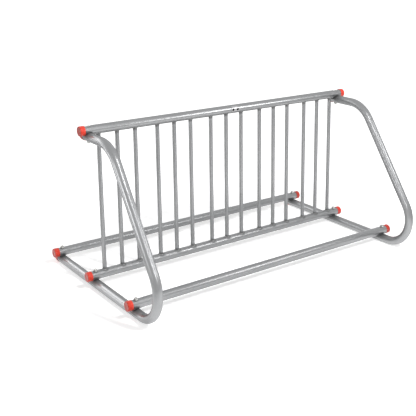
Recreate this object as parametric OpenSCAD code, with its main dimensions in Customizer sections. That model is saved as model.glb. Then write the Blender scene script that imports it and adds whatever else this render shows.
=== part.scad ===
// Floor bike rack. Two bent tube side frames carry four bolted rails, and upright bars
// between the top rail and the grid floor rail hold the wheels.
// X runs along the rack, -Y is the side with the big bends, and the floor is at Z = 0.

/* [Overall] */
// Length over the end caps of the rails
overall_length = 1518; // [1450:1:1700]
// Depth from the big bends to the rear end caps
overall_depth = 965; // [930:1:1100]
// Height to the top of the top rail's end caps
overall_height = 743; // [660:1:850]

/* [Tubes] */
// Outer diameter of the rails and side frames
tube_d = 41.3; // [39:0.1:44]
// Wall of the rails and side frames
tube_wall = 2.1; // [1.6:0.1:2.6]
// Outer diameter of an upright bar
bar_d = 19; // [16:0.1:21]
// Wall of an upright bar
bar_wall = 1.6; // [1:0.1:3]

/* [Side frames] */
// Centreline radius of the big bend at the floor
front_bend_r = 136; // [110:1:145]
// Centreline radius of the bend near the top rail
top_bend_r = 157; // [120:1:190]
// Length of the level run from the upper bend to the top rail's centre
top_run = 122.5; // [100:0.5:145]

/* [Rails] */
// Distance from a crossing's centre to the outer face of the end cap beside it
overhang = 44; // [44:0.5:50]
// Distance from the rear rail's centre to the outer faces of the frames' rear end caps
rear_overhang = 40; // [38:0.5:50]
// Distance from the big bends to the centre of the front floor rail
front_rail_setback = 203; // [195:1:240]
// Distance from the big bends to the upright grid
grid_setback = 571; // [520:1:620]
// Depth of the seat pressed into a side frame under each floor rail
saddle_depth = 4; // [3:0.1:5]
// Depth of the seat pressed into a side frame under the top rail
top_saddle_depth = 14; // [11:0.1:14]

/* [Grid] */
// Number of groups of bars
group_count = 5; // [2:1:5]
// Number of bars in a group
bars_per_group = 3; // [2:1:3]
// Distance from a crossing's centre to the outermost bar
bar_margin = 46; // [46:0.5:70]
// Spacing of the neighbouring bars of two groups
group_gap = 113; // [95:1:140]
// Depth of the dimple pressed into a rail at each bar
bar_press = 2.8; // [2:0.1:3]
// Width of a weld bead around a bar's end
weld_leg = 3; // [2:0.1:3.5]

/* [End caps] */
// Length of an end cap
cap_length = 23.5; // [18:0.5:23.5]
// Side wall of an end cap
cap_wall = 1.3; // [1:0.1:1.5]
// Thickness of an end cap's closed end
cap_end = 3; // [2:0.1:4]
// Rounding of an end cap's outer edge
cap_round = 3.5; // [1:0.1:4]

/* [Fasteners] */
// Diameter of a crossing bolt
bolt_d = 10; // [8:0.5:10.5]
// Diameter of a bolt's domed head
head_d = 19; // [17:0.5:20]
// Height of a bolt's domed head
head_h = 3.6; // [3:0.1:4]
// Distance across the flats of a nut
nut_flats = 17; // [15.5:0.1:17.5]
// Thickness of a nut
nut_h = 8; // [6:0.1:9]
// Length of bolt that stands out of a nut
bolt_tip = 5; // [3:0.1:7]
// Depth of the dimple pressed into a tube at each bolt
bolt_press = 4.5; // [4.2:0.1:5]

/* [Blank plate] */
// Width of the blank plate on the top rail
plate_w = 42; // [40:0.5:60]
// Thickness of the blank plate
plate_t = 1.2; // [0.8:0.1:2]
// Distance of the blank plate's centre from the middle of the rack
plate_x = 42; // [30:1:55]
// Spacing of the plate's two rivets
rivet_spacing = 26; // [20:0.5:28]
// Diameter of a rivet's head
rivet_head_d = 12; // [9:0.5:13]

/* [Hidden] */
$fn = 64;
tube_fn = 64;
bend_fn = 144;
dimple_fn = 256;
overrun = 1;

// Clearances
seat_clear = 0.3;
cap_clear = 0.15;
bar_clear = 0.15;
hole_clear = 0.4;
thread_clear = 0.1;
rest_gap = 0.05;

// A straight run reaches this far into the bend beside it, a hair thinner than the bend
lap = 1;
lap_step = 0.1;

tube_r = tube_d / 2;
bore_r = tube_r - tube_wall;
bar_r = bar_d / 2;
cap_r = tube_r + cap_clear + cap_wall;
bolt_r = bolt_d / 2;
head_r = head_d / 2;
nut_r = nut_flats / 2 / cos(30);

// Radii that the pressed dimples are rounded to, along the tube
bar_press_r = 110;
bolt_press_r = 40;

// How far a bar reaches past the inner face of a rail's wall
bar_insert = 2;
// How much wider the opening under a floor bolt's head is than the head
access_margin = 1.5;

// Heights of the tube centrelines
side_z = cap_r;
function stack(rail) = tube_d - (rail == "top" ? top_saddle_depth : saddle_depth) + seat_clear;
floor_rail_z = side_z + stack("floor");
top_rail_z = overall_height - cap_r;

// Places of the crossings
crossing_x = overall_length / 2 - overhang;
front_y = front_rail_setback - overall_depth / 2;
grid_y = grid_setback - overall_depth / 2;
rear_y = overall_depth / 2 - rear_overhang;
rail_tube_length = overall_length - 2 * (cap_end + rest_gap);

// Centreline of a side frame in its own plane, as [y, z]
bend_y = tube_r + front_bend_r - overall_depth / 2;
frame_rear_y = overall_depth / 2 - cap_end - rest_gap;
front_centre = [bend_y, side_z + front_bend_r];
top_start = [grid_y - top_run, top_rail_z - stack("top")];
top_centre = top_start - [0, top_bend_r];
// The sloping leg is the straight line that touches both bends
between = top_centre - front_centre;
reach = norm(between);
slope = atan2(between[1], between[0]) + asin((top_bend_r - front_bend_r) / reach);
leg_length = sqrt(pow(reach, 2) - pow(top_bend_r - front_bend_r, 2));
leg_start = front_centre + front_bend_r * [-sin(slope), cos(slope)];
top_end_run = overhang - cap_end - rest_gap;

// The grid
first_bar_x = bar_margin - crossing_x;
group_width = (-2 * first_bar_x - (group_count - 1) * group_gap) / group_count;
bar_pitch = group_width / (bars_per_group - 1);
bar_xs = [
    for (group = [0 : group_count - 1], bar = [0 : bars_per_group - 1])
        first_bar_x + group * (group_width + group_gap) + bar * bar_pitch
];
bar_reach = tube_r - bar_press - tube_wall - bar_insert;
bar_bottom_z = floor_rail_z + bar_reach;
bar_length = top_rail_z - bar_reach - bar_bottom_z;

// Distances from a tube's centreline to what rests in its pressed dimple
function dimple_rest(width_r) =
    tube_r - bolt_press + bolt_press_r - sqrt(pow(bolt_press_r, 2) - pow(width_r, 2)) + rest_gap;
nut_rest = dimple_rest(nut_r);
head_rest = dimple_rest(head_r);
// A floor bolt's head bears on the inside of the side frame's seat
inner_head_rest = tube_r + seat_clear + tube_wall + rest_gap;
tip_chamfer = bolt_d / 5;

// The blank plate's reach above and below the rail's foremost line, in degrees
plate_up = 48;
plate_down = 24;
plate_gap = 0.1;
plate_r = tube_r + plate_gap + plate_t;
rivet_head_h = rivet_head_d / 4;
rivet_r = rivet_head_d / 4;

SIDES = ["left", "right"];
RAILS = ["front", "grid", "rear", "top"];
function crossings(part) = [for (rail = RAILS, side = SIDES) str(rail, "_", side, "_", part)];
function bar_name(i) = str("bar_", i < 9 ? "0" : "", i + 1);

function side_sign(side) = side == "left" ? -1 : 1;
function rail_y(rail) = rail == "front" ? front_y : rail == "rear" ? rear_y : grid_y;
function rail_z(rail) = rail == "top" ? top_rail_z : floor_rail_z;

// Centre of a rail where it crosses a side frame, with the bolt along Z
module at_crossing(rail, side) {
    translate([side_sign(side) * crossing_x, rail_y(rail), rail_z(rail)])
        children();
}

// Turns a drawing in X and Y into the plane of a side frame
module in_frame_plane(side) {
    translate([side_sign(side) * crossing_x, 0, 0])
        rotate([90, 0, 90])
            children();
}

module rod_x(length, r) {
    rotate([0, 90, 0])
        cylinder(h = length, r = r, center = true);
}

// A wide round tool that presses a dimple, across X or across Y
module press_x(r) {
    rotate([0, 90, 0])
        cylinder(h = 2 * tube_d, r = r, center = true, $fn = dimple_fn);
}

module press_y(r) {
    rotate([90, 0, 0])
        cylinder(h = 2 * tube_d, r = r, center = true, $fn = dimple_fn);
}

module straight(start, heading, from, to, r) {
    translate([start[0], start[1], 0])
        rotate([0, 0, heading])
            translate([from, 0, 0])
                rotate([90, 0, 90])
                    cylinder(h = to - from, r = r - lap_step);
}

module bend(centre, bend_r, from, to, r) {
    translate([centre[0], centre[1], 0])
        rotate([0, 0, from])
            rotate_extrude(angle = to - from, $fn = bend_fn)
                translate([bend_r, 0])
                    circle(r, $fn = tube_fn);
}

// The bent centreline swept with a round section from the rear end to the upper end, longer
// at both ends by extra. Both bends turn right on this way.
module frame_sweep(r, extra) {
    straight([frame_rear_y, side_z], 180, -extra, frame_rear_y - bend_y + lap, r);
    bend(front_centre, front_bend_r, 90 + slope, 270, r);
    straight(leg_start, slope, -lap, leg_length + lap, r);
    bend(top_centre, top_bend_r, 90, 90 + slope, r);
    straight(top_start, 0, -lap, top_run + top_end_run + extra, r);
}

// Space that a rail takes above the seats of a side frame
module rail_seats(side, r) {
    for (rail = RAILS)
        at_crossing(rail, side)
            rod_x(3 * tube_d, r);
}

// Dimple for the nut below the upper end of a side frame
module lower_dimple(side, r) {
    at_crossing("top", side)
        translate([0, 0, bolt_press - tube_r - bolt_press_r - stack("top")])
            press_x(r);
}

module frame_holes(side) {
    for (rail = ["front", "grid", "rear"])
        at_crossing(rail, side) {
            translate([0, 0, -stack(rail)])
                cylinder(h = stack(rail), r = bolt_r + hole_clear);
            translate([0, 0, -stack(rail) - tube_d])
                cylinder(h = tube_d, r = head_r + access_margin);
        }
    at_crossing("top", side)
        translate([0, 0, -stack("top") - tube_d])
            cylinder(h = stack("top") + tube_d, r = bolt_r + hole_clear);
}

module side_frame(side) {
    color("silver")
        difference() {
            in_frame_plane(side)
                frame_sweep(tube_r, 0);
            rail_seats(side, tube_r + seat_clear);
            lower_dimple(side, bolt_press_r);
            difference() {
                in_frame_plane(side)
                    frame_sweep(bore_r, overrun);
                rail_seats(side, tube_r + seat_clear + tube_wall);
                lower_dimple(side, bolt_press_r + tube_wall);
            }
            frame_holes(side);
        }
}

// Dimples pressed into a rail at its two bolts, from above
module bolt_dimples(r) {
    for (side = SIDES)
        translate([side_sign(side) * crossing_x, 0, tube_r - bolt_press + bolt_press_r])
            press_y(r);
}

// Dimples pressed into a rail at the bars, on the side that up points to
module bar_dimples(up, r) {
    for (x = bar_xs)
        translate([x, 0, up * (tube_r - bar_press + bar_press_r)])
            press_y(r);
}

module bolt_holes() {
    for (side = SIDES)
        translate([side_sign(side) * crossing_x, 0, 0])
            cylinder(h = 2 * tube_d, r = bolt_r + hole_clear, center = true);
}

module bar_holes(up) {
    for (x = bar_xs)
        translate([x, 0, up * tube_r])
            cylinder(h = tube_d, r = bar_r + bar_clear, center = true);
}

// A rail with bolt dimples, and bars on the side that up points to, or none where up is 0
module rail_tube(up) {
    difference() {
        rod_x(rail_tube_length, tube_r);
        bolt_dimples(bolt_press_r);
        if (up != 0)
            bar_dimples(up, bar_press_r);
        difference() {
            rod_x(rail_tube_length + 2 * overrun, bore_r);
            bolt_dimples(bolt_press_r + tube_wall);
            if (up != 0)
                bar_dimples(up, bar_press_r + tube_wall);
        }
        bolt_holes();
        if (up != 0)
            bar_holes(up);
    }
}

module top_rail() {
    color("silver")
        translate([0, grid_y, top_rail_z])
            difference() {
                rail_tube(-1);
                at_rivets()
                    cylinder(h = tube_r, r = rivet_r + thread_clear);
            }
}

module grid_floor_rail() {
    color("silver")
        translate([0, grid_y, floor_rail_z])
            rail_tube(1);
}

module plain_floor_rail(rail) {
    color("silver")
        translate([0, rail_y(rail), floor_rail_z])
            rail_tube(0);
}

module bar(i) {
    color("darkgray")
        translate([bar_xs[i], grid_y, bar_bottom_z])
            difference() {
                cylinder(h = bar_length, r = bar_r);
                translate([0, 0, -overrun])
                    cylinder(h = bar_length + 2 * overrun, r = bar_r - bar_wall);
            }
}

// Weld bead where a bar leaves a rail, shaped by the rail's own dimpled surface
module bead() {
    valley = tube_r - bar_press;
    difference() {
        union() {
            cylinder(h = valley, r = bar_r + weld_leg);
            translate([0, 0, valley])
                cylinder(h = weld_leg, r1 = bar_r + weld_leg, r2 = bar_r + weld_leg / 5);
        }
        difference() {
            rod_x(2 * bar_d + 2 * weld_leg, tube_r + rest_gap);
            translate([0, 0, valley + bar_press_r])
                press_y(bar_press_r - rest_gap);
        }
        cylinder(h = tube_d, r = bar_r + rest_gap);
    }
}

module bar_welds(rail_height, up) {
    color("gray")
        for (x = bar_xs)
            translate([x, grid_y, rail_height])
                rotate([up > 0 ? 0 : 180, 0, 0])
                    bead();
}

// End cap along Z: open at 0, closed at its length
module end_cap() {
    color("orangered")
        difference() {
            rotate_extrude() {
                square([cap_r, cap_length - cap_round]);
                square([cap_r - cap_round, cap_length]);
                intersection() {
                    translate([cap_r - cap_round, cap_length - cap_round])
                        circle(cap_round);
                    square([cap_r, cap_length]);
                }
            }
            translate([0, 0, -overrun])
                cylinder(h = cap_length - cap_end + overrun, r = tube_r + cap_clear);
        }
}

module rail_cap(rail, side) {
    translate([side_sign(side) * (overall_length / 2 - cap_length), rail_y(rail), rail_z(rail)])
        rotate([0, side_sign(side) * 90, 0])
            end_cap();
}

module frame_rear_cap(side) {
    translate([side_sign(side) * crossing_x, overall_depth / 2 - cap_length, side_z])
        rotate([-90, 0, 0])
            end_cap();
}

module frame_top_cap(side) {
    at_crossing("top", side)
        translate([0, overhang - cap_length, -stack("top")])
            rotate([-90, 0, 0])
                end_cap();
}

// Domed head: flat at 0, top at its height
module dome(r, h) {
    dome_r = (pow(r, 2) + pow(h, 2)) / (2 * h);
    intersection() {
        translate([0, 0, h - dome_r])
            sphere(dome_r);
        cylinder(h = h, r = 2 * r);
    }
}

// Bolt along Z: the head's flat is at 0, and the shank runs up to its length
module bolt_body(length) {
    color("gainsboro")
        union() {
            rotate([180, 0, 0])
                dome(head_r, head_h);
            cylinder(h = length - tip_chamfer, r = bolt_r);
            translate([0, 0, length - tip_chamfer])
                cylinder(h = tip_chamfer, r1 = bolt_r, r2 = bolt_r - tip_chamfer);
        }
}

// The floor bolts point up from inside the side frame, the top bolts point down
module crossing_bolt(rail, side) {
    at_crossing(rail, side)
        if (rail == "top")
            translate([0, 0, head_rest])
                rotate([180, 0, 0])
                    bolt_body(head_rest + stack("top") + nut_rest + nut_h + bolt_tip);
        else
            translate([0, 0, -inner_head_rest])
                bolt_body(inner_head_rest + nut_rest + nut_h + bolt_tip);
}

// Nut along Z, with its corners turned down at both faces by 45 degree cones
module nut_body() {
    color("gainsboro")
        difference() {
            intersection() {
                cylinder(h = nut_h, r = nut_r, $fn = 6);
                cylinder(h = nut_h, r1 = nut_flats / 2, r2 = nut_flats / 2 + nut_h);
                cylinder(h = nut_h, r1 = nut_flats / 2 + nut_h, r2 = nut_flats / 2);
            }
            translate([0, 0, -overrun])
                cylinder(h = nut_h + 2 * overrun, r = bolt_r + thread_clear);
        }
}

module crossing_nut(rail, side) {
    at_crossing(rail, side)
        if (rail == "top")
            translate([0, 0, -stack("top") - nut_rest - nut_h])
                nut_body();
        else
            translate([0, 0, nut_rest])
                nut_body();
}

// The two rivet places on the top rail's foremost line, with Z pointing out of the rail
module at_rivets() {
    for (place = [-1, 1])
        translate([plate_x + place * rivet_spacing / 2, 0, 0])
            rotate([90, 0, 0])
                children();
}

module blank_plate() {
    color("lightgray")
        translate([0, grid_y, top_rail_z])
            difference() {
                translate([plate_x - plate_w / 2, 0, 0])
                    rotate([0, 90, 0])
                        rotate([0, 0, 270 - plate_up])
                            rotate_extrude(angle = plate_up + plate_down)
                                translate([plate_r - plate_t, 0])
                                    square([plate_t, plate_w]);
                at_rivets()
                    cylinder(h = tube_d, r = rivet_r + thread_clear);
            }
}

module plate_rivets() {
    tail = bore_r - rivet_head_h;
    color("dimgray")
        translate([0, grid_y, top_rail_z])
            at_rivets() {
                translate([0, 0, tail])
                    cylinder(h = plate_r + rest_gap - tail, r = rivet_r);
                translate([0, 0, plate_r + rest_gap])
                    dome(rivet_head_d / 2, rivet_head_h);
            }
}

side_frame("left");  // left_side_frame
side_frame("right");  // right_side_frame
top_rail();
grid_floor_rail();
plain_floor_rail("front");  // front_floor_rail
plain_floor_rail("rear");  // rear_floor_rail
for (i = [0 : len(bar_xs) - 1])
    bar(i);
bar_welds(top_rail_z, -1);  // top_bar_welds
bar_welds(floor_rail_z, 1);  // floor_bar_welds
for (rail = RAILS, side = SIDES) {
    rail_cap(rail, side);
    crossing_bolt(rail, side);
    crossing_nut(rail, side);
}
for (side = SIDES) {
    frame_rear_cap(side);
    frame_top_cap(side);
}
blank_plate();
plate_rivets();
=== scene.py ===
from math import asin, atan2, ceil, cos, hypot, pi, radians, sin, sqrt, tan

import bmesh
import bpy
from mathutils import Matrix, Vector


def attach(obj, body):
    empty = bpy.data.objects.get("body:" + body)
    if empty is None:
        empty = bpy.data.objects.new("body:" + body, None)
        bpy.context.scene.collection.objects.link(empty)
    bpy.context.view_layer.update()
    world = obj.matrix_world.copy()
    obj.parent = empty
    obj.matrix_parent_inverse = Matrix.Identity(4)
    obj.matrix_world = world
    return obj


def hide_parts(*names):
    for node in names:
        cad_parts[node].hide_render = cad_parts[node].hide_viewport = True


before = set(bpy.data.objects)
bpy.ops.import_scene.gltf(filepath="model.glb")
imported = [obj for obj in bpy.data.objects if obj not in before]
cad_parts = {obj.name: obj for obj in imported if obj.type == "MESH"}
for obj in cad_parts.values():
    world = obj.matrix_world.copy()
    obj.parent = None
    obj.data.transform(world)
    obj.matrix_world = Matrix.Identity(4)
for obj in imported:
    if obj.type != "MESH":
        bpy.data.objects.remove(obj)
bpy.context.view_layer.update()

MM = 0.001
SIDES = ("left", "right")
FLOOR_RAILS = ("front", "grid", "rear")
RAILS = FLOOR_RAILS + ("top",)

# Overall sizes
RACK_LENGTH = 1518 * MM
RACK_DEPTH = 965 * MM
RACK_HEIGHT = 743 * MM

# Tubes and bars
TUBE_R = 20.65 * MM
TUBE_WALL = 2.1 * MM
BAR_R = 9.5 * MM
BAR_WALL = 1.6 * MM

# End caps
CAP_LENGTH = 23.5 * MM
CAP_WALL = 1.3 * MM
CAP_CLEAR = 0.15 * MM
CAP_END = 3 * MM
CAP_ROUND = 3.5 * MM
CAP_RIM = 0.5 * MM
CAP_DISH = 0.5 * MM
CAP_DISH_R = 12 * MM
CAP_DISH_ROUND = 3 * MM
CAP_R = TUBE_R + CAP_CLEAR + CAP_WALL

# Side frames
FRONT_BEND_R = 136 * MM
TOP_BEND_R = 157 * MM
TOP_RUN = 122.5 * MM
FRONT_RAIL_BACK = 203 * MM
GRID_BACK = 571 * MM
OVERHANG = 44 * MM
REAR_OVERHANG = 40 * MM
SEAT_CLEAR = 0.3 * MM
FLOOR_SEAT_DEPTH = 4 * MM
TOP_SEAT_DEPTH = 14 * MM

# Fasteners
BOLT_R = 5 * MM
HEAD_R = 9.5 * MM
HEAD_H = 3.6 * MM
HEAD_EDGE = 0.4 * MM
HEAD_RIM = 0.3 * MM
NUT_FLATS = 17 * MM
NUT_H = 8 * MM
NUT_CLEAR = 0.1 * MM
NUT_CHAMFER = 0.6 * MM
NUT_FACE_R = 0.95 * NUT_FLATS / 2
NUT_CORNER_ANGLE = 30
BOLT_TIP = 5 * MM
TIP_CHAMFER = 2 * MM
BOLT_PRESS = 4.5 * MM
BOLT_PRESS_R = 40 * MM
HOLE_R = 5.4 * MM
ACCESS_R = 11 * MM
REST_GAP = 0.05 * MM
THREAD_PITCH = 1.5 * MM
THREAD_DEPTH = 0.45 * MM
THREAD_UNDER_NUT = 2 * MM

# The grid
BAR_MARGIN = 46 * MM
GROUP_GAP = 113 * MM
GROUPS = 5
BARS_IN_GROUP = 3
BAR_PRESS = 2.8 * MM
BAR_PRESS_R = 110 * MM
BAR_INSERT = 2 * MM
BAR_HOLE_R = 9.65 * MM
WELD_LEG = 3 * MM
WELD_SINK = 0.5 * MM
WELD_IN = 0.2 * MM
WELD_RIPPLES = 22
WELD_RIPPLE_H = 0.16 * MM
WELD_LUMPS = 3
WELD_LUMP_H = 0.12 * MM
WELD_TWIST = 40

# The blank plate, which reaches some degrees up and down round the rail's front
PLATE_W = 42 * MM
PLATE_T = 1.2 * MM
PLATE_X = 42 * MM
PLATE_UP = 48
PLATE_DOWN = 24
PLATE_CORNER = 4 * MM
PLATE_GAP = 0.1 * MM
RIVET_SPACING = 26 * MM
RIVET_R = 6 * MM
RIVET_H = 3 * MM
RIVET_EDGE = 0.1 * MM

# Places that follow from the sizes
SIDE_Z = CAP_R
FLOOR_STACK = 2 * TUBE_R - FLOOR_SEAT_DEPTH + SEAT_CLEAR
TOP_STACK = 2 * TUBE_R - TOP_SEAT_DEPTH + SEAT_CLEAR
FLOOR_RAIL_Z = SIDE_Z + FLOOR_STACK
TOP_RAIL_Z = RACK_HEIGHT - CAP_R
CROSSING_X = RACK_LENGTH / 2 - OVERHANG
FRONT_Y = FRONT_RAIL_BACK - RACK_DEPTH / 2
GRID_Y = GRID_BACK - RACK_DEPTH / 2
REAR_Y = RACK_DEPTH / 2 - REAR_OVERHANG
RAIL_HALF = RACK_LENGTH / 2 - CAP_END - REST_GAP
REAR_END = RACK_DEPTH / 2 - CAP_END - REST_GAP
RAIL_Y = {"front": FRONT_Y, "grid": GRID_Y, "rear": REAR_Y, "top": GRID_Y}
RAIL_Z = {"front": FLOOR_RAIL_Z, "grid": FLOOR_RAIL_Z, "rear": FLOOR_RAIL_Z, "top": TOP_RAIL_Z}
STACK = {"front": FLOOR_STACK, "grid": FLOOR_STACK, "rear": FLOOR_STACK, "top": TOP_STACK}
SIDE_X = {"left": -CROSSING_X, "right": CROSSING_X}
PLATE_R = TUBE_R + PLATE_GAP + PLATE_T

FIRST_BAR = BAR_MARGIN - CROSSING_X
GROUP_WIDTH = (-2 * FIRST_BAR - (GROUPS - 1) * GROUP_GAP) / GROUPS
BAR_PITCH = GROUP_WIDTH / (BARS_IN_GROUP - 1)
BAR_XS = [FIRST_BAR + group * (GROUP_WIDTH + GROUP_GAP) + bar * BAR_PITCH
          for group in range(GROUPS) for bar in range(BARS_IN_GROUP)]
BAR_REACH = TUBE_R - BAR_PRESS - TUBE_WALL - BAR_INSERT
BAR_BOTTOM = FLOOR_RAIL_Z + BAR_REACH
BAR_TOP = TOP_RAIL_Z - BAR_REACH

# How finely the pieces are divided, round about and lengthwise
TUBE_SIDES = 56
BAR_SIDES = 32
CAP_SIDES = 64
NUT_SIDES = 72
BOLT_SIDES = 32
WELD_SIDES = 88
RIVET_SIDES = 24
PLATE_STEPS = 24
FINE_STEP = 1.6 * MM
BEND_STEP = 7 * MM
LONG_STEP = 16 * MM
BAR_FINE_STEP = 3 * MM
BAR_LONG_STEP = 30 * MM
SEAT_REACH = TUBE_R + 8 * MM
PRESS_REACH = 24 * MM
PRESS_SOFTNESS = 2.2 * MM
MERGE_DISTANCE = 0.002 * MM

# Where the joints' painted shade darkens the tubes: fully up to the first value, and not beyond the
# second
SEAT_SHADE = (TUBE_R + 2 * MM, TUBE_R + 50 * MM)
CROSSING_SHADE = (8 * MM, 26 * MM)
CROSSING_SHADE_HEIGHT = (-17 * MM, -10 * MM)
BAR_HOLE_SHADE = (BAR_R + 1 * MM, BAR_R + 14 * MM)
BAR_HOLE_SHADE_HEIGHT = (-12 * MM, -6 * MM)
BAR_END_SHADE = (8 * MM, 22 * MM)

# Colours
COAT_DARK, COAT_LIGHT = (0.262, 0.267, 0.272), (0.294, 0.299, 0.304)
COAT_FLAKE = (0.38, 0.38, 0.385)
COAT_DUST = (0.30, 0.29, 0.27)
# The near black of the painted shade in the creases where tubes meet
COAT_PAINTED_SHADE = (0.09, 0.09, 0.09)
COAT_TINT = (0.8, 0.8, 0.81)
RED_DARK, RED_LIGHT = (0.72, 0.045, 0.025), (0.80, 0.064, 0.035)
RED_DUST = (0.62, 0.12, 0.09)
FLOOR_WHITE = (0.9, 0.9, 0.9)

# The camera, in millimetres, parts of the picture's width, metres and degrees
SENSOR_WIDTH = 36
FOCAL_LENGTH = 68.27
CAMERA_SHIFT = (-0.1245, -0.1750)
CAMERA_PLACE = (-2.1263, -2.9493, 1.4805)
CAMERA_TURN = (76.574, -0.075, -37.490)
CAMERA_REACH = 60

# How strongly the floor glows for the camera and in the metal: two distances from the rack's middle, and
# the strengths at both
SEEN_GLOW = (0.7, 1.3, 0.52, 1)
MIRRORED_RISE = (0.5, 0.85, 0.35, 1)
MIRRORED_FALL = (0.95, 1.6, 0.95, 0.4)
FLOOR_RADIUS = 30

# The room's strength as a light. To look at, it is white.
AMBIENT = 0.28

# Lamps, as name, place, width, height and power. One also has its own aim and spread.
LAMP_AIM = (0, 0, 0.35)
MIRRORED_BOXES = (
    ("front_strip", (0.87, -1.2, 1.2), 0.78, 0.3, 2.3, (-0.15, 0.05, 0.68), 90),
    ("middle_front_box", (-0.45, -1.6, 1.2), 0.35, 0.3, 4),
    ("high_front_box", (-0.4, -1.3, 2.1), 0.3, 0.3, 9),
    ("left_box", (-2.3, -0.25, 0.9), 0.35, 0.35, 5),
    ("rear_box", (-1.3, 3.0, 2.0), 1.2, 0.9, 11),
    ("left_rear_box", (-2.2, 1.3, 0.4), 1.2, 0.5, 7),
    ("far_rear_box", (-1.7, 2.0, 1.25), 1.2, 0.8, 8),
    ("right_box", (2.2, 0.5, 0.6), 1.0, 0.8, 4),
)
SHADOW_KEYS = (
    ("steep_key", (-0.1, -1.5, 2.3), 0.2, 0.2, 31),
    ("slanting_key", (0.2, -2.2, 2.0), 0.2, 0.2, 37),
)


def new_piece(name, bm, material, slot, *nodes, crease=35):
    """A finished piece that rides on the rack, in place of the CAD nodes it stands for. Edges that turn
    by more than the crease, in degrees, stay sharp."""
    mesh = bpy.data.meshes.new(name)
    bm.to_mesh(mesh)
    bm.free()
    mesh.shade_smooth()
    mesh.set_sharp_from_angle(angle=radians(crease))
    mesh.materials.append(material)
    piece = bpy.data.objects.new(name, mesh)
    bpy.context.scene.collection.objects.link(piece)
    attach(piece, "root")
    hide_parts(*nodes)


# Working on meshes
def soft_lower(a, b, softness=PRESS_SOFTNESS):
    """The lower of two heights, with the corner between them rounded."""
    blend = max(softness - abs(a - b), 0) / softness
    return min(a, b) - blend * blend * softness / 4


def stations(start, end, places, reach, fine=FINE_STEP, far=LONG_STEP):
    """Stations along a run, close together within reach of each place and far apart elsewhere."""
    marks = {start, end}
    for place in places:
        marks.update(mark for mark in (place - reach, place + reach) if start < mark < end)
    marks = sorted(marks)
    found = [start]
    for low, high in zip(marks, marks[1:]):
        near = any(abs((low + high) / 2 - place) < reach for place in places)
        count = ceil((high - low) / (fine if near else far))
        found += [low + (high - low) * i / count for i in range(1, count + 1)]
    return found


def tube_skin(bm, radius, sides, marks):
    """An open tube skin up Z, with a ring of points at each mark."""
    # It is made 1 m long, cut evenly, and its rings are then moved to the marks
    bmesh.ops.create_cone(bm, segments=sides, radius1=radius, radius2=radius, depth=1, cap_ends=False)
    lengthwise = [edge for edge in bm.edges if abs(edge.verts[0].co.z - edge.verts[1].co.z) > 0.5]
    bmesh.ops.subdivide_edges(bm, edges=lengthwise, cuts=len(marks) - 2)
    for vert in bm.verts:
        vert.co.z = marks[round((vert.co.z + 0.5) * (len(marks) - 1))]


def stand_along(bm, place, way):
    """Moves a piece made up Z from the origin, so that it starts at place and points way."""
    turn = Vector((0, 0, 1)).rotation_difference(Vector(way)).to_matrix().to_4x4()
    bmesh.ops.transform(bm, matrix=Matrix.Translation(place) @ turn, verts=bm.verts)


def start_ring(bm, radius, sides):
    """An open ring of edges round the origin."""
    ring = bmesh.ops.create_circle(bm, segments=sides, radius=radius)["verts"]
    return {edge for vert in ring for edge in vert.link_edges}


def grow(bm, ring):
    """Extrudes an open ring in place and gives back the new ring."""
    grown = bmesh.ops.extrude_edge_only(bm, edges=list(ring))["geom"]
    verts = {part for part in grown if isinstance(part, bmesh.types.BMVert)}
    return {edge for vert in verts for edge in vert.link_edges if edge.other_vert(vert) in verts}


def face_outwards(bm):
    """Joins points that lie on each other, and turns every face to the outside."""
    bmesh.ops.remove_doubles(bm, verts=bm.verts, dist=MERGE_DISTANCE)
    bmesh.ops.recalc_face_normals(bm, faces=bm.faces)


def drill(bm, centre, axis, radius, on_tube=None):
    """Opens a round hole in a wall on the side that the axis points to, with its edge drawn to a true
    circle. Where on_tube gives the height over a point's x, the edge is laid back on that surface."""
    centre, axis = Vector(centre), Vector(axis)
    reach = 1.5 * TUBE_R

    def off_axis(point):
        """How far along the axis a point is, and where it is beside the axis."""
        away = point - centre
        along = away.dot(axis)
        return along, away - axis * along

    cut = []
    for face in bm.faces:
        along, away = off_axis(face.calc_center_median())
        if 0 < along < reach and away.length < radius:
            cut.append(face)
    bmesh.ops.delete(bm, geom=cut, context="FACES")
    for vert in bm.verts:
        if not vert.is_boundary:
            continue
        along, away = off_axis(vert.co)
        if 0 < along < reach and 0 < away.length < 2 * radius:
            vert.co = centre + axis * along + away.normalized() * radius
            if on_tube:
                vert.co.z = on_tube(vert.co.x)


def spin_profile(bm, profile, sides, closed=False):
    """Turns a profile of radius and height once round Z. A closed one runs back to its first point."""
    verts = [bm.verts.new((r, 0, h)) for r, h in profile]
    following = verts[1:] + verts[:1] if closed else verts[1:]
    edges = [bm.edges.new(pair) for pair in zip(verts, following)]
    bmesh.ops.spin(bm, geom=verts + edges, cent=(0, 0, 0), axis=(0, 0, 1), dvec=(0, 0, 0),
                   angle=2 * pi, steps=sides, use_merge=True, use_duplicate=False)


def arc(centre_r, centre_h, radius, start, end, steps):
    """Points of a rounded corner in a profile, from one angle to another in degrees."""
    angles = [radians(start + (end - start) * i / steps) for i in range(steps + 1)]
    return [(centre_r + radius * cos(angle), centre_h + radius * sin(angle)) for angle in angles]


def pressed_height(depth, press_r, away):
    """Height of a round dimple's floor over a tube's centreline, some way from the dimple's middle."""
    return TUBE_R - depth + press_r - sqrt(press_r ** 2 - away ** 2)


def fading(distance, near, far):
    """1 up to the near distance, 0 beyond the far one, and a straight fall between."""
    return min(max((far - distance) / (far - near), 0), 1)


def shade_joints(bm, shade):
    """Keeps how much painted shade a joint puts on each point, from 0 to 1, as an attribute that the
    coat reads.
    """
    layer = bm.verts.layers.float.new("joint_shade")
    for vert in bm.verts:
        vert[layer] = shade(vert.co)


def give_wall(bm, thickness):
    """Turns a skin into a tube wall: the skin stays outside, and the wall grows inwards."""
    bmesh.ops.solidify(bm, geom=bm.faces[:], thickness=thickness)


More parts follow.
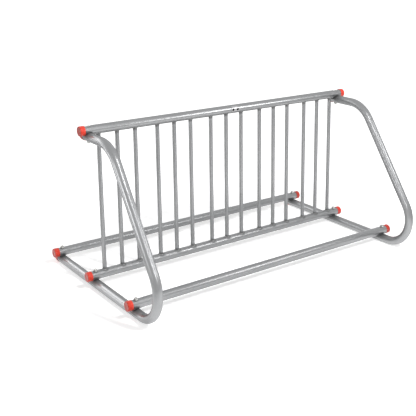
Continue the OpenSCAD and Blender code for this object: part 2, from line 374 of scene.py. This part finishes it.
# Side frames
def side_frame_path():
    """The runs and right-hand bends of a side frame from its rear end, as lengths and radii.
    Radius 0 is straight."""
    bend_y = TUBE_R + FRONT_BEND_R - RACK_DEPTH / 2
    front_centre = Vector((bend_y, SIDE_Z + FRONT_BEND_R))
    top_start = Vector((GRID_Y - TOP_RUN, TOP_RAIL_Z - TOP_STACK))
    between = top_start - Vector((0, TOP_BEND_R)) - front_centre
    slope = atan2(between.y, between.x) + asin((TOP_BEND_R - FRONT_BEND_R) / between.length)
    leg = sqrt(between.length_squared - (TOP_BEND_R - FRONT_BEND_R) ** 2)
    floor_run = REAR_END - bend_y
    upper_run = TOP_RUN + OVERHANG - CAP_END - REST_GAP
    return [(floor_run, 0), ((pi - slope) * FRONT_BEND_R, FRONT_BEND_R), (leg, 0),
            (slope * TOP_BEND_R, TOP_BEND_R), (upper_run, 0)]


def follow(path, y, z, heading, distance):
    """The point and heading at a distance along a path in the YZ plane."""
    for length, radius in path:
        step = min(distance, length)
        if radius:
            y, z = y + radius * sin(heading), z - radius * cos(heading)
            heading -= step / radius
            y, z = y - radius * sin(heading), z + radius * cos(heading)
        else:
            y, z = y + step * cos(heading), z + step * sin(heading)
        distance -= step
    return y, z, heading


def press_side_frame(bm):
    """Presses the rails' seats and the dimple for the upper nut into a side frame."""
    seat_r = TUBE_R + SEAT_CLEAR
    upper_z = TOP_RAIL_Z - TOP_STACK
    for vert in bm.verts:
        y, z = vert.co.y, vert.co.z
        for rail in RAILS:
            away = abs(y - RAIL_Y[rail])
            if away < seat_r + PRESS_SOFTNESS and abs(z - RAIL_Z[rail]) < STACK[rail] + TUBE_R:
                drop = sqrt(max(seat_r * seat_r - away * away, 0))
                z = soft_lower(z, RAIL_Z[rail] - drop)
        away = abs(y - GRID_Y)
        if away < BOLT_PRESS_R and abs(vert.co.z - TOP_RAIL_Z) < TOP_STACK + 2 * TUBE_R:
            z = -soft_lower(-z, pressed_height(BOLT_PRESS, BOLT_PRESS_R, away) - upper_z)
        vert.co.z = z


def make_side_frame(side, material):
    """A side frame's tube: bent from a straight skin, then pressed, drilled and given its wall."""
    x = SIDE_X[side]
    path = side_frame_path()
    length = sum(run for run, _ in path)
    # How far along the tube the rails cross it
    seats = [REAR_END - RAIL_Y[rail] for rail in FLOOR_RAILS] + [length - OVERHANG + CAP_END + REST_GAP]
    bm = bmesh.new()
    tube_skin(bm, TUBE_R, TUBE_SIDES, stations(0, length, seats, SEAT_REACH, far=BEND_STEP))
    for vert in bm.verts:
        y, z, heading = follow(path, REAR_END, SIDE_Z, pi, vert.co.z)
        vert.co = (x + vert.co.x, y - vert.co.y * sin(heading), z + vert.co.y * cos(heading))
    face_outwards(bm)
    press_side_frame(bm)
    for rail in FLOOR_RAILS:
        centre = (x, RAIL_Y[rail], SIDE_Z)
        drill(bm, centre, (0, 0, 1), HOLE_R)
        drill(bm, centre, (0, 0, -1), ACCESS_R,
              on_tube=lambda px: SIDE_Z - sqrt(TUBE_R ** 2 - (px - x) ** 2))
    for up in (1, -1):
        drill(bm, (x, GRID_Y, TOP_RAIL_Z - TOP_STACK), (0, 0, up), HOLE_R)

    def shade(point):
        """Painted shade, darkest along the edges of the seats that the rails lie in."""
        found = 0
        for rail in RAILS:
            away = hypot(point.y - RAIL_Y[rail], point.z - RAIL_Z[rail])
            if abs(point.z - RAIL_Z[rail]) < STACK[rail]:
                found = max(found, fading(away, *SEAT_SHADE))
        return found

    shade_joints(bm, shade)
    give_wall(bm, TUBE_WALL)
    name = side + "_side_frame"
    new_piece(name + "_tube", bm, material, "tubes", name)


# Rails
def press_rail(bm, rail_z, up):
    """Presses the bolts' dimples into the top of a rail, and the bars' dimples into the side that up
    points to. An up of 0 has no bars."""
    for vert in bm.verts:
        x, height = vert.co.x, vert.co.z - rail_z
        if height > 0:
            for side in SIDES:
                away = abs(x - SIDE_X[side])
                if away < BOLT_PRESS_R:
                    height = soft_lower(height, pressed_height(BOLT_PRESS, BOLT_PRESS_R, away))
        if up and height * up > 0:
            away = min(abs(x - bar_x) for bar_x in BAR_XS)
            if away < BAR_PRESS_R / 2:
                dimple = pressed_height(BAR_PRESS, BAR_PRESS_R, away)
                height = up * soft_lower(height * up, dimple, PRESS_SOFTNESS / 2)
        vert.co.z = rail_z + height


def make_rail(rail, material):
    """A rail's tube, pressed and drilled for its bolts, and for the bars where it holds them."""
    y, z = RAIL_Y[rail], RAIL_Z[rail]
    up = {"grid": 1, "top": -1}.get(rail, 0)
    places = [SIDE_X[side] + RAIL_HALF for side in SIDES]
    if up:
        places += [bar_x + RAIL_HALF for bar_x in BAR_XS]
    bm = bmesh.new()
    tube_skin(bm, TUBE_R, TUBE_SIDES, stations(0, 2 * RAIL_HALF, places, PRESS_REACH))
    stand_along(bm, (-RAIL_HALF, y, z), (1, 0, 0))
    face_outwards(bm)
    press_rail(bm, z, up)
    for side in SIDES:
        for way in (1, -1):
            drill(bm, (SIDE_X[side], y, z), (0, 0, way), HOLE_R)
    if up:
        for bar_x in BAR_XS:
            drill(bm, (bar_x, y, z), (0, 0, up), BAR_HOLE_R)

    def shade(point):
        """Painted shade, darkest round the bars' welds and over the seats in the side frames."""
        crossing = min(abs(point.x - SIDE_X[side]) for side in SIDES)
        height = point.z - z
        found = fading(crossing, *CROSSING_SHADE) * fading(height, *CROSSING_SHADE_HEIGHT)
        if up:
            bar = hypot(min(abs(point.x - bar_x) for bar_x in BAR_XS), point.y - y)
            at_bar = fading(bar, *BAR_HOLE_SHADE) * fading(-up * height, *BAR_HOLE_SHADE_HEIGHT)
            found = max(found, at_bar)
        return found

    shade_joints(bm, shade)
    give_wall(bm, TUBE_WALL)
    name = "top_rail" if rail == "top" else rail + "_floor_rail"
    new_piece(name + "_tube", bm, material, "tubes", name)


def make_bar(index, material):
    """An upright bar's tube, a little darker towards both ends with painted shade."""
    length = BAR_TOP - BAR_BOTTOM
    bm = bmesh.new()
    tube_skin(bm, BAR_R, BAR_SIDES,
              stations(0, length, [0, length], PRESS_REACH, fine=BAR_FINE_STEP, far=BAR_LONG_STEP))
    stand_along(bm, (BAR_XS[index], GRID_Y, BAR_BOTTOM), (0, 0, 1))
    face_outwards(bm)
    shade_joints(bm, lambda point: fading(min(point.z - BAR_BOTTOM, BAR_TOP - point.z), *BAR_END_SHADE))
    give_wall(bm, BAR_WALL)
    name = f"bar_{index + 1:02d}"
    new_piece(name + "_tube", bm, material, "tubes", name)


def rail_height(across, along):
    """Height of a rail's dimpled surface over its centreline, beside a bar."""
    return min(sqrt(TUBE_R ** 2 - across ** 2), pressed_height(BAR_PRESS, BAR_PRESS_R, along))


def make_bar_welds(end, rail, up, material):
    """The rippled beads round the bars' ends, laid on the rail's surface."""
    # Down over a bead's rounded outside, and back under it to just inside the bar's wall
    profile = [(BAR_R - WELD_IN, WELD_LEG * 0.9), (BAR_R + 0.8 * MM, WELD_LEG * 0.86),
               (BAR_R + 1.9 * MM, WELD_LEG * 0.5), (BAR_R + 2.7 * MM, WELD_LEG * 0.1),
               (BAR_R + WELD_LEG, -WELD_SINK), (BAR_R - WELD_IN, -WELD_SINK)]
    bead = bmesh.new()
    spin_profile(bead, profile, WELD_SIDES, closed=True)
    plain = bpy.data.meshes.new("plain_bead")
    bead.to_mesh(plain)
    bead.free()
    bm = bmesh.new()
    for bar_x in BAR_XS:
        done = len(bm.verts)
        bm.from_mesh(plain)
        bm.verts.ensure_lookup_table()
        for vert in bm.verts[done:]:
            angle = atan2(vert.co.y, vert.co.x)
            out = hypot(vert.co.x, vert.co.y) - BAR_R
            outside = min(max(out / MM, 0), 1)
            wave = WELD_RIPPLE_H * cos(WELD_RIPPLES * (angle + WELD_TWIST * out)) * outside
            lump = WELD_LUMP_H * sin(WELD_LUMPS * angle + WELD_TWIST * bar_x) * outside
            grown = 1 + (wave + lump) / (BAR_R + out)
            across, along = vert.co.y * grown, vert.co.x * grown
            height = vert.co.z + (wave if vert.co.z > 0 else 0) + rail_height(across, along)
            vert.co = (bar_x + along, GRID_Y + across, RAIL_Z[rail] + up * height)
    bpy.data.meshes.remove(plain)
    face_outwards(bm)
    new_piece(end + "_bar_weld_beads", bm, material, "welds", end + "_bar_welds", crease=60)


# End caps
def make_end_cap(name, place, way, material):
    """A moulded cup: open at its rim, with a rounded closed end that has a shallow dished middle."""
    inside, floor_h = TUBE_R + CAP_CLEAR, CAP_LENGTH - CAP_END
    lead_in_r, lead_in_h, inner_corner = 0.3 * MM, 0.4 * MM, 1 * MM
    profile = [(0, CAP_LENGTH - CAP_DISH), (CAP_DISH_R - CAP_DISH_ROUND, CAP_LENGTH - CAP_DISH)]
    profile += arc(CAP_DISH_R, CAP_LENGTH - CAP_DISH_ROUND, CAP_DISH_ROUND, 120, 90, 4)[1:]
    profile += arc(CAP_R - CAP_ROUND, CAP_LENGTH - CAP_ROUND, CAP_ROUND, 90, 0, 8)
    profile += [(CAP_R, CAP_LENGTH / 2)] + arc(CAP_R - CAP_RIM, CAP_RIM, CAP_RIM, 0, -90, 3)
    profile += [(inside + lead_in_r, 0), (inside, lead_in_h), (inside, floor_h - inner_corner),
                (inside - inner_corner, floor_h), (0, floor_h)]
    bm = bmesh.new()
    spin_profile(bm, profile, CAP_SIDES)
    face_outwards(bm)
    stand_along(bm, place, way)
    new_piece(name + "_cup", bm, material, "end_caps", name, crease=50)


# Fasteners
def press_rest(width_r):
    """Distance from a tube's centreline to a nut or head of that radius, resting in its bolt dimple."""
    return pressed_height(BOLT_PRESS, BOLT_PRESS_R, width_r) + REST_GAP


def make_nut(name, place, way, material):
    """Hexagon nut with its corners turned down at both faces and a chamfered bore."""
    bore = BOLT_R + NUT_CLEAR
    mouth_r = bore + NUT_CHAMFER
    # Radius and height of each ring of points, from inside the bore over both faces and back into it.
    # The two without a radius follow the hexagon.
    rings = [(bore, NUT_H / 2), (bore, NUT_H - NUT_CHAMFER), (mouth_r, NUT_H), (NUT_FACE_R, NUT_H),
             (None, NUT_H), (None, 0), (NUT_FACE_R, 0), (mouth_r, 0), (bore, NUT_CHAMFER)]
    bm = bmesh.new()
    ring = start_ring(bm, 1, NUT_SIDES)
    levels = [{vert for edge in ring for vert in edge.verts}]
    for _ in rings[1:]:
        ring = grow(bm, ring)
        levels.append({vert for edge in ring for vert in edge.verts})
    for (radius, height), verts in zip(rings, levels):
        for vert in verts:
            angle = atan2(vert.co.y, vert.co.x)
            out, rise = radius, height
            if radius is None:
                out = NUT_FLATS / 2 / cos((angle % (pi / 3)) - pi / 6)
                turned = (out - NUT_FACE_R) * tan(radians(NUT_CORNER_ANGLE))
                rise = height - turned if height else turned
            vert.co = (out * cos(angle), out * sin(angle), rise)
    bmesh.ops.bridge_loops(bm, edges=[edge for edge in bm.edges if edge.is_boundary])
    face_outwards(bm)
    stand_along(bm, place, way)
    new_piece(name + "_hexagon", bm, material, "fasteners", name, crease=25)


def make_bolt(name, place, way, length, material):
    """Bolt with a domed head whose flat is at place, and a thread over the last part of its shank."""
    threaded = NUT_H + BOLT_TIP + THREAD_UNDER_NUT
    plain, thread_end = length - threaded, length - TIP_CHAMFER
    dome_r = (HEAD_R ** 2 + HEAD_H ** 2) / (2 * HEAD_H)
    dome_steps, tip_steps = 8, 4
    profile = [(0, -HEAD_H)]
    for step in range(1, dome_steps + 1):
        r = (HEAD_R - HEAD_EDGE) * step / dome_steps
        profile.append((r, dome_r - HEAD_H - sqrt(dome_r ** 2 - r * r)))
    profile += [(HEAD_R, -HEAD_RIM), (HEAD_R, 0), (BOLT_R, 0), (BOLT_R, plain)]
    steps = ceil((threaded - TIP_CHAMFER) / (THREAD_PITCH / 4))
    profile += [(BOLT_R, plain + (threaded - TIP_CHAMFER) * i / steps) for i in range(1, steps + 1)]
    tapers = [TIP_CHAMFER * i / tip_steps for i in range(1, tip_steps + 1)]
    profile += [(BOLT_R - taper, thread_end + taper) for taper in tapers] + [(0, length)]
    bm = bmesh.new()
    spin_profile(bm, profile, BOLT_SIDES)
    face_outwards(bm)
    for vert in bm.verts:
        r = hypot(vert.co.x, vert.co.y)
        if vert.co.z > plain + THREAD_PITCH and r > BOLT_R / 2:
            phase = (vert.co.z / THREAD_PITCH - atan2(vert.co.y, vert.co.x) / (2 * pi)) % 1
            depth = THREAD_DEPTH * (1 - abs(2 * phase - 1))
            vert.co.x *= (r - depth) / r
            vert.co.y *= (r - depth) / r
    stand_along(bm, place, way)
    new_piece(name + "_threaded", bm, material, "fasteners", name, crease=40)


def make_fasteners(material):
    """A bolt and a nut at each crossing. The heads are inside the side frames, or on the top rail."""
    nut_rest = press_rest(NUT_FLATS / 2 / cos(pi / 6))
    head_rest = press_rest(HEAD_R)
    inner_rest = TUBE_R + SEAT_CLEAR + TUBE_WALL + REST_GAP
    for rail in RAILS:
        for side in SIDES:
            x, y, z = SIDE_X[side], RAIL_Y[rail], RAIL_Z[rail]
            bolt, nut = f"{rail}_{side}_bolt", f"{rail}_{side}_nut"
            if rail == "top":
                make_bolt(bolt, (x, y, z + head_rest), (0, 0, -1),
                          head_rest + TOP_STACK + nut_rest + NUT_H + BOLT_TIP, material)
                make_nut(nut, (x, y, z - TOP_STACK - nut_rest - NUT_H), (0, 0, 1), material)
            else:
                make_bolt(bolt, (x, y, z - inner_rest), (0, 0, 1),
                          inner_rest + nut_rest + NUT_H + BOLT_TIP, material)
                make_nut(nut, (x, y, z + nut_rest), (0, 0, 1), material)


# The blank plate on the top rail and its two rivets
def make_blank_plate(material):
    """A thin plate with rounded corners, bent round the front of the top rail."""
    tall = radians(PLATE_UP + PLATE_DOWN) * PLATE_R
    bm = bmesh.new()
    bmesh.ops.create_grid(bm, x_segments=1, y_segments=1, size=0.5)
    bmesh.ops.scale(bm, vec=(PLATE_W, tall, 1), verts=bm.verts)
    bmesh.ops.bevel(bm, geom=bm.verts[:], offset=PLATE_CORNER, affect="VERTICES", segments=5,
                    profile=0.5, material=-1)
    for step in range(1, PLATE_STEPS):
        bmesh.ops.bisect_plane(bm, geom=bm.verts[:] + bm.edges[:] + bm.faces[:],
                               plane_co=(0, tall * (step / PLATE_STEPS - 0.5), 0), plane_no=(0, 1, 0))
    for vert in bm.verts:
        angle = radians((PLATE_UP - PLATE_DOWN) / 2) + vert.co.y / PLATE_R
        vert.co = (PLATE_X + vert.co.x, GRID_Y - PLATE_R * cos(angle), TOP_RAIL_Z + PLATE_R * sin(angle))
    # An open sheet has no outside, so it is turned to face the front
    face_outwards(bm)
    if sum(face.normal.y for face in bm.faces) > 0:
        bmesh.ops.reverse_faces(bm, faces=bm.faces)
    give_wall(bm, PLATE_T)
    new_piece("blank_plate_sheet", bm, material, "plate", "blank_plate")


def make_plate_rivets(material):
    """Two round-headed rivets through the plate and the rail's wall."""
    dome_r = (RIVET_R ** 2 + RIVET_H ** 2) / (2 * RIVET_H)
    tail = TUBE_R - TUBE_WALL - RIVET_H
    shank = RIVET_R / 2
    dome_steps = 8
    profile = [(0, PLATE_R + RIVET_H)]
    for step in range(1, dome_steps):
        r = RIVET_R * step / dome_steps
        profile.append((r, PLATE_R + RIVET_H - dome_r + sqrt(dome_r ** 2 - r * r)))
    profile += [(RIVET_R, PLATE_R + RIVET_EDGE), (RIVET_R - RIVET_EDGE, PLATE_R), (shank, PLATE_R),
                (shank, tail), (0, tail)]
    bm = bmesh.new()
    for place in (-1, 1):
        old = set(bm.verts)
        spin_profile(bm, profile, RIVET_SIDES)
        spot = Vector((PLATE_X + place * RIVET_SPACING / 2, GRID_Y, TOP_RAIL_Z))
        bmesh.ops.transform(bm, matrix=Matrix.Translation(spot) @ Matrix.Rotation(pi / 2, 4, "X"),
                            verts=[vert for vert in bm.verts if vert not in old])
    face_outwards(bm)
    new_piece("plate_rivet_pair", bm, material, "rivets", "plate_rivets")


# Shared shader effects
def node_group(name, inputs, outputs):
    """An empty shader group with named sockets, and its input and output nodes."""
    group = bpy.data.node_groups.new(name, "ShaderNodeTree")
    for label, kind, value in inputs:
        socket = group.interface.new_socket(label, in_out="INPUT", socket_type=kind)
        socket.default_value = value
    for label, kind in outputs:
        group.interface.new_socket(label, in_out="OUTPUT", socket_type=kind)
    return group, group.nodes.new("NodeGroupInput"), group.nodes.new("NodeGroupOutput")


def noise_at(tree, scale, detail, roughness=0.5):
    """A noise pattern on Object coordinates, with its scale from a value or a socket."""
    noise = tree.nodes.new("ShaderNodeTexNoise")
    tree.links.new(tree.nodes.new("ShaderNodeTexCoord").outputs["Object"], noise.inputs["Vector"])
    if isinstance(scale, (int, float)):
        noise.inputs["Scale"].default_value = scale
    else:
        tree.links.new(scale, noise.inputs["Scale"])
    noise.inputs["Detail"].default_value = detail
    noise.inputs["Roughness"].default_value = roughness
    return noise.outputs["Fac"]


def mapped(tree, value, low, high, to_low=0.0, to_high=1.0):
    """A value stretched from one range to another, and kept inside it."""
    node = tree.nodes.new("ShaderNodeMapRange")
    tree.links.new(value, node.inputs["Value"])
    limits = {"From Min": low, "From Max": high, "To Min": to_low, "To Max": to_high}
    for label, number in limits.items():
        node.inputs[label].default_value = number
    return node.outputs["Result"]


def combined(tree, operation, a, b):
    """A sum, product or the like of two numbers or sockets."""
    node = tree.nodes.new("ShaderNodeMath")
    node.operation = operation
    for socket, value in zip(node.inputs, (a, b)):
        if isinstance(value, (int, float)):
            socket.default_value = value
        else:
            tree.links.new(value, socket)
    return node.outputs[0]


def mixed(tree, mask, a, b):
    """Colour a where the mask is 0 and colour b where it is 1."""
    node = tree.nodes.new("ShaderNodeMix")
    node.data_type = "RGBA"
    tree.links.new(mask, node.inputs["Factor"])
    for label, value in (("A", a), ("B", b)):
        socket = next(s for s in node.inputs if s.name == label and s.type == "RGBA")
        if isinstance(value, tuple):
            socket.default_value = (*value, 1)
        else:
            tree.links.new(value, socket)
    return next(s for s in node.outputs if s.type == "RGBA")


def make_grain_group():
    """Fine specks, a soft cloud and the height of a sprayed or moulded skin."""
    group, inputs, outputs = node_group(
        "skin_grain",
        [("Speck Scale", "NodeSocketFloat", 1800), ("Peel Scale", "NodeSocketFloat", 260),
         ("Cloud Scale", "NodeSocketFloat", 7)],
        [("Specks", "NodeSocketFloat"), ("Cloud", "NodeSocketFloat"), ("Height", "NodeSocketFloat")])
    specks = noise_at(group, inputs.outputs["Speck Scale"], 1)
    peel = noise_at(group, inputs.outputs["Peel Scale"], 2)
    cloud = noise_at(group, inputs.outputs["Cloud Scale"], 3)
    group.links.new(mapped(group, specks, 0.3, 0.7), outputs.inputs["Specks"])
    group.links.new(mapped(group, cloud, 0.3, 0.7), outputs.inputs["Cloud"])
    fine = combined(group, "MULTIPLY", specks, 0.25)
    group.links.new(combined(group, "ADD", peel, fine), outputs.inputs["Height"])
    return group


def make_use_group():
    """Where a part near the floor is scuffed and dusty: two masks that fade out with height."""
    group, inputs, outputs = node_group(
        "floor_use", [("Reach", "NodeSocketFloat", 0.05), ("Patch Scale", "NodeSocketFloat", 60)],
        [("Dust", "NodeSocketFloat"), ("Scuffs", "NodeSocketFloat")])
    split = group.nodes.new("ShaderNodeSeparateXYZ")
    group.links.new(group.nodes.new("ShaderNodeTexCoord").outputs["Object"], split.inputs[0])
    fall = group.nodes.new("ShaderNodeMapRange")
    group.links.new(split.outputs["Z"], fall.inputs["Value"])
    group.links.new(inputs.outputs["Reach"], fall.inputs["From Max"])
    fall.inputs["To Min"].default_value = 1
    fall.inputs["To Max"].default_value = 0
    near = fall.outputs["Result"]
    patches = mapped(group, noise_at(group, inputs.outputs["Patch Scale"], 4, 0.6), 0.45, 0.7)
    group.links.new(combined(group, "MULTIPLY", near, patches), outputs.inputs["Dust"])
    scratches = mapped(group, noise_at(group, 420, 2, 0.7), 0.62, 0.7)
    group.links.new(combined(group, "MULTIPLY", near, scratches), outputs.inputs["Scuffs"])
    return group


def new_material(name):
    """A new material, its tree and its shader."""
    material = bpy.data.materials.new(name)
    material.use_nodes = True
    tree = material.node_tree
    shader = tree.nodes["Principled BSDF"]
    return material, tree, shader


def placed(tree, group, **values):
    """A shared group as a node of this tree, with some of its inputs set."""
    node = tree.nodes.new("ShaderNodeGroup")
    node.node_tree = group
    for label, value in values.items():
        node.inputs[label.replace("_", " ")].default_value = value
    return node


def joint_shade(tree):
    """How much painted shade the joints put on a tube, from 0 to 1, as its mesh keeps it."""
    node = tree.nodes.new("ShaderNodeAttribute")
    node.attribute_name = "joint_shade"
    return node.outputs["Fac"]


def bump(tree, shader, height, distance, strength):
    """Lets a height pattern tilt the surface. The distance is how high it stands."""
    node = tree.nodes.new("ShaderNodeBump")
    node.inputs["Distance"].default_value = distance
    node.inputs["Strength"].default_value = strength
    tree.links.new(height, node.inputs["Height"])
    tree.links.new(node.outputs["Normal"], shader.inputs["Normal"])


def make_powder_coat(grain, use):
    """Silver-grey metallic powder coat, satin, with fine flakes, a little orange peel and painted shade
    at the joints.
    """
    material, tree, shader = new_material("silver_powder_coat")
    skin = placed(tree, grain, Speck_Scale=1500, Peel_Scale=240, Cloud_Scale=6)
    worn = placed(tree, use, Reach=0.045, Patch_Scale=70)
    painted_shade = joint_shade(tree)
    flakes = mapped(tree, skin.outputs["Specks"], 0, 1, 0, 0.35)
    dust = mapped(tree, worn.outputs["Dust"], 0, 1, 0, 0.25)
    colour = mixed(tree, skin.outputs["Cloud"], COAT_DARK, COAT_LIGHT)
    colour = mixed(tree, flakes, colour, COAT_FLAKE)
    colour = mixed(tree, dust, colour, COAT_DUST)
    # Painted shade: the joints' mask darkens the coat here, and below it also roughens the coat
    colour = mixed(tree, mapped(tree, painted_shade, 0.3, 1, 0, 0.65), colour, COAT_PAINTED_SHADE)
    tree.links.new(colour, shader.inputs["Base Color"])
    rough = mapped(tree, skin.outputs["Cloud"], 0, 1, 0.30, 0.36)
    rough = combined(tree, "ADD", rough, combined(tree, "MULTIPLY", worn.outputs["Scuffs"], 0.2))
    rough = combined(tree, "ADD", rough, mapped(tree, painted_shade, 0, 0.5, 0, 0.4))
    tree.links.new(rough, shader.inputs["Roughness"])
    shader.inputs["Metallic"].default_value = 0.85
    shader.inputs["Specular Tint"].default_value = (*COAT_TINT, 1)
    bump(tree, shader, skin.outputs["Height"], 0.06 * MM, 0.5)
    return material


def make_red_plastic(grain, use):
    """Bright red moulded plastic, softly glossy, with a faint mould texture."""
    material, tree, shader = new_material("red_cap_plastic")
    skin = placed(tree, grain, Speck_Scale=900, Peel_Scale=420, Cloud_Scale=40)
    worn = placed(tree, use, Reach=0.05, Patch_Scale=150)
    dust = mapped(tree, worn.outputs["Dust"], 0, 1, 0, 0.2)
    colour = mixed(tree, skin.outputs["Cloud"], RED_DARK, RED_LIGHT)
    tree.links.new(mixed(tree, dust, colour, RED_DUST), shader.inputs["Base Color"])
    tree.links.new(mapped(tree, skin.outputs["Specks"], 0, 1, 0.26, 0.36), shader.inputs["Roughness"])
    shader.inputs["Specular IOR Level"].default_value = 0.45
    bump(tree, shader, skin.outputs["Height"], 0.04 * MM, 0.5)
    return material


def make_plain_metal(name, grain, scales, dark, light, rough, metallic, relief):
    """A plain surface between two tones, with a range of roughness and a height and strength of relief.
    The scales are those of its specks, its peel and its cloud."""
    material, tree, shader = new_material(name)
    skin = placed(tree, grain, Speck_Scale=scales[0], Peel_Scale=scales[1], Cloud_Scale=scales[2])
    tree.links.new(mixed(tree, skin.outputs["Cloud"], dark, light), shader.inputs["Base Color"])
    tree.links.new(mapped(tree, skin.outputs["Specks"], 0, 1, *rough), shader.inputs["Roughness"])
    shader.inputs["Metallic"].default_value = metallic
    bump(tree, shader, skin.outputs["Height"], *relief)
    return material


def make_weld_metal(grain):
    """Coated weld beads, darker and rougher than the tubes."""
    return make_plain_metal("coated_weld", grain, scales=(1400, 500, 90),
                            dark=(0.16, 0.16, 0.16), light=(0.34, 0.34, 0.34),
                            rough=(0.42, 0.6), metallic=0.7, relief=(0.3 * MM, 0.6))


def make_zinc(grain):
    """Zinc-plated steel with a faint spangle."""
    return make_plain_metal("zinc_plate", grain, scales=(1200, 700, 220),
                            dark=(0.40, 0.40, 0.39), light=(0.55, 0.55, 0.53),
                            rough=(0.26, 0.4), metallic=1, relief=(0.05 * MM, 0.4))


def make_plate_metal(grain):
    """Plain light grey sheet with a satin finish."""
    return make_plain_metal("satin_sheet", grain, scales=(1600, 300, 60),
                            dark=(0.36, 0.36, 0.365), light=(0.42, 0.42, 0.425),
                            rough=(0.36, 0.48), metallic=0.85, relief=(0.03 * MM, 0.4))


def make_rivet_metal(grain):
    """Dark satin rivets, which mirror very little."""
    material = make_plain_metal("dark_rivet", grain, scales=(1600, 600, 160),
                                dark=(0.004, 0.004, 0.005), light=(0.012, 0.012, 0.013),
                                rough=(0.45, 0.6), metallic=0, relief=(0.04 * MM, 0.4))
    shader = material.node_tree.nodes["Principled BSDF"]
    shader.inputs["Specular IOR Level"].default_value = 0.12
    return material


# Camera, floor and light
def seen_directly(tree):
    """1 for what is seen directly, in a reflection or through glass, and 0 for scattered light."""
    path = tree.nodes.new("ShaderNodeLightPath").outputs
    seen = combined(tree, "MAXIMUM", path["Is Camera Ray"], path["Is Glossy Ray"])
    return combined(tree, "MAXIMUM", seen, path["Is Transmission Ray"])


def make_camera():
    """The photograph's view: from the front left and above, with the picture shifted on the lens."""
    lens = bpy.data.cameras.new("view_camera")
    lens.sensor_fit = "HORIZONTAL"
    lens.sensor_width = SENSOR_WIDTH
    lens.lens = FOCAL_LENGTH
    lens.shift_x, lens.shift_y = CAMERA_SHIFT
    lens.clip_end = CAMERA_REACH
    camera = bpy.data.objects.new("view_camera", lens)
    camera.location = CAMERA_PLACE
    camera.rotation_euler = [radians(turn) for turn in CAMERA_TURN]
    bpy.context.scene.collection.objects.link(camera)
    bpy.context.scene.camera = camera


def make_floor():
    """A white floor that takes the shadows and glows, so that it is white to the camera. Under the rack
    it glows less, in the picture as well as in the metal."""
    bm = bmesh.new()
    bmesh.ops.create_circle(bm, cap_ends=True, segments=64, radius=FLOOR_RADIUS)
    mesh = bpy.data.meshes.new("studio_floor")
    bm.to_mesh(mesh)
    bm.free()
    material, tree, shader = new_material("white_floor")
    shader.inputs["Base Color"].default_value = (*FLOOR_WHITE, 1)
    shader.inputs["Roughness"].default_value = 0.9
    shader.inputs["Specular IOR Level"].default_value = 0.1
    shader.inputs["Emission Color"].default_value = (1, 1, 1, 1)
    away = tree.nodes.new("ShaderNodeVectorMath")
    away.operation = "LENGTH"
    tree.links.new(tree.nodes.new("ShaderNodeTexCoord").outputs["Object"], away.inputs[0])
    distance = away.outputs["Value"]
    path = tree.nodes.new("ShaderNodeLightPath").outputs
    seen = mapped(tree, distance, *SEEN_GLOW)
    mirrored = combined(tree, "MULTIPLY", mapped(tree, distance, *MIRRORED_RISE),
                        mapped(tree, distance, *MIRRORED_FALL))
    to_camera = combined(tree, "MULTIPLY", path["Is Camera Ray"], seen)
    reflected = combined(tree, "MAXIMUM", path["Is Glossy Ray"], path["Is Transmission Ray"])
    to_metal = combined(tree, "MULTIPLY", reflected, mirrored)
    tree.links.new(combined(tree, "ADD", to_camera, to_metal), shader.inputs["Emission Strength"])
    mesh.materials.append(material)
    floor = bpy.data.objects.new("studio_floor", mesh)
    bpy.context.scene.collection.objects.link(floor)


def make_world():
    """An even white room, weaker as a light than it looks."""
    world = bpy.data.worlds.new("studio_world")
    bpy.context.scene.world = world
    world.use_nodes = True
    tree = world.node_tree
    background = tree.nodes["Background"]
    background.inputs["Color"].default_value = (1, 1, 1, 1)
    strength = mapped(tree, seen_directly(tree), 0, 1, AMBIENT, 1)
    tree.links.new(strength, background.inputs["Strength"])


def make_lamp(name, place, width, height, power, aim=LAMP_AIM, spread=180):
    """A rectangular lamp that the camera doesn't see. Its spread is in degrees."""
    lamp = bpy.data.lights.new(name, "AREA")
    lamp.shape = "RECTANGLE"
    lamp.size, lamp.size_y = width, height
    lamp.energy = power
    lamp.spread = radians(spread)
    holder = bpy.data.objects.new(name, lamp)
    holder.location = place
    way = Vector(aim) - holder.location
    holder.rotation_euler = way.to_track_quat("-Z", "Y").to_euler()
    holder.visible_camera = False
    bpy.context.scene.collection.objects.link(holder)
    return holder


grain = make_grain_group()
use = make_use_group()
coat = make_powder_coat(grain, use)
weld = make_weld_metal(grain)
red = make_red_plastic(grain, use)
zinc = make_zinc(grain)
sheet = make_plate_metal(grain)
dark = make_rivet_metal(grain)

for side in SIDES:
    make_side_frame(side, coat)
for rail in RAILS:
    make_rail(rail, coat)
for index in range(len(BAR_XS)):
    make_bar(index, coat)
make_bar_welds("top", "top", -1, weld)
make_bar_welds("floor", "grid", 1, weld)
for side, sign in zip(SIDES, (-1, 1)):
    for rail in RAILS:
        rim = (sign * (RACK_LENGTH / 2 - CAP_LENGTH), RAIL_Y[rail], RAIL_Z[rail])
        make_end_cap(f"{rail}_{side}_rail_cap", rim, (sign, 0, 0), red)
    rear_rim = (SIDE_X[side], RACK_DEPTH / 2 - CAP_LENGTH, SIDE_Z)
    top_rim = (SIDE_X[side], GRID_Y + OVERHANG - CAP_LENGTH, TOP_RAIL_Z - TOP_STACK)
    make_end_cap(side + "_frame_rear_cap", rear_rim, (0, 1, 0), red)
    make_end_cap(side + "_frame_top_cap", top_rim, (0, 1, 0), red)
make_fasteners(zinc)
make_blank_plate(sheet)
make_plate_rivets(dark)

make_camera()
make_floor()
make_world()
# The boxes are only there for the tubes to mirror, and the keys light the rack and draw its shadows
for lamp in MIRRORED_BOXES:
    make_lamp(*lamp).visible_diffuse = False
for lamp in SHADOW_KEYS:
    make_lamp(*lamp).visible_glossy = False

bpy.context.scene.view_settings.view_transform = "Standard"
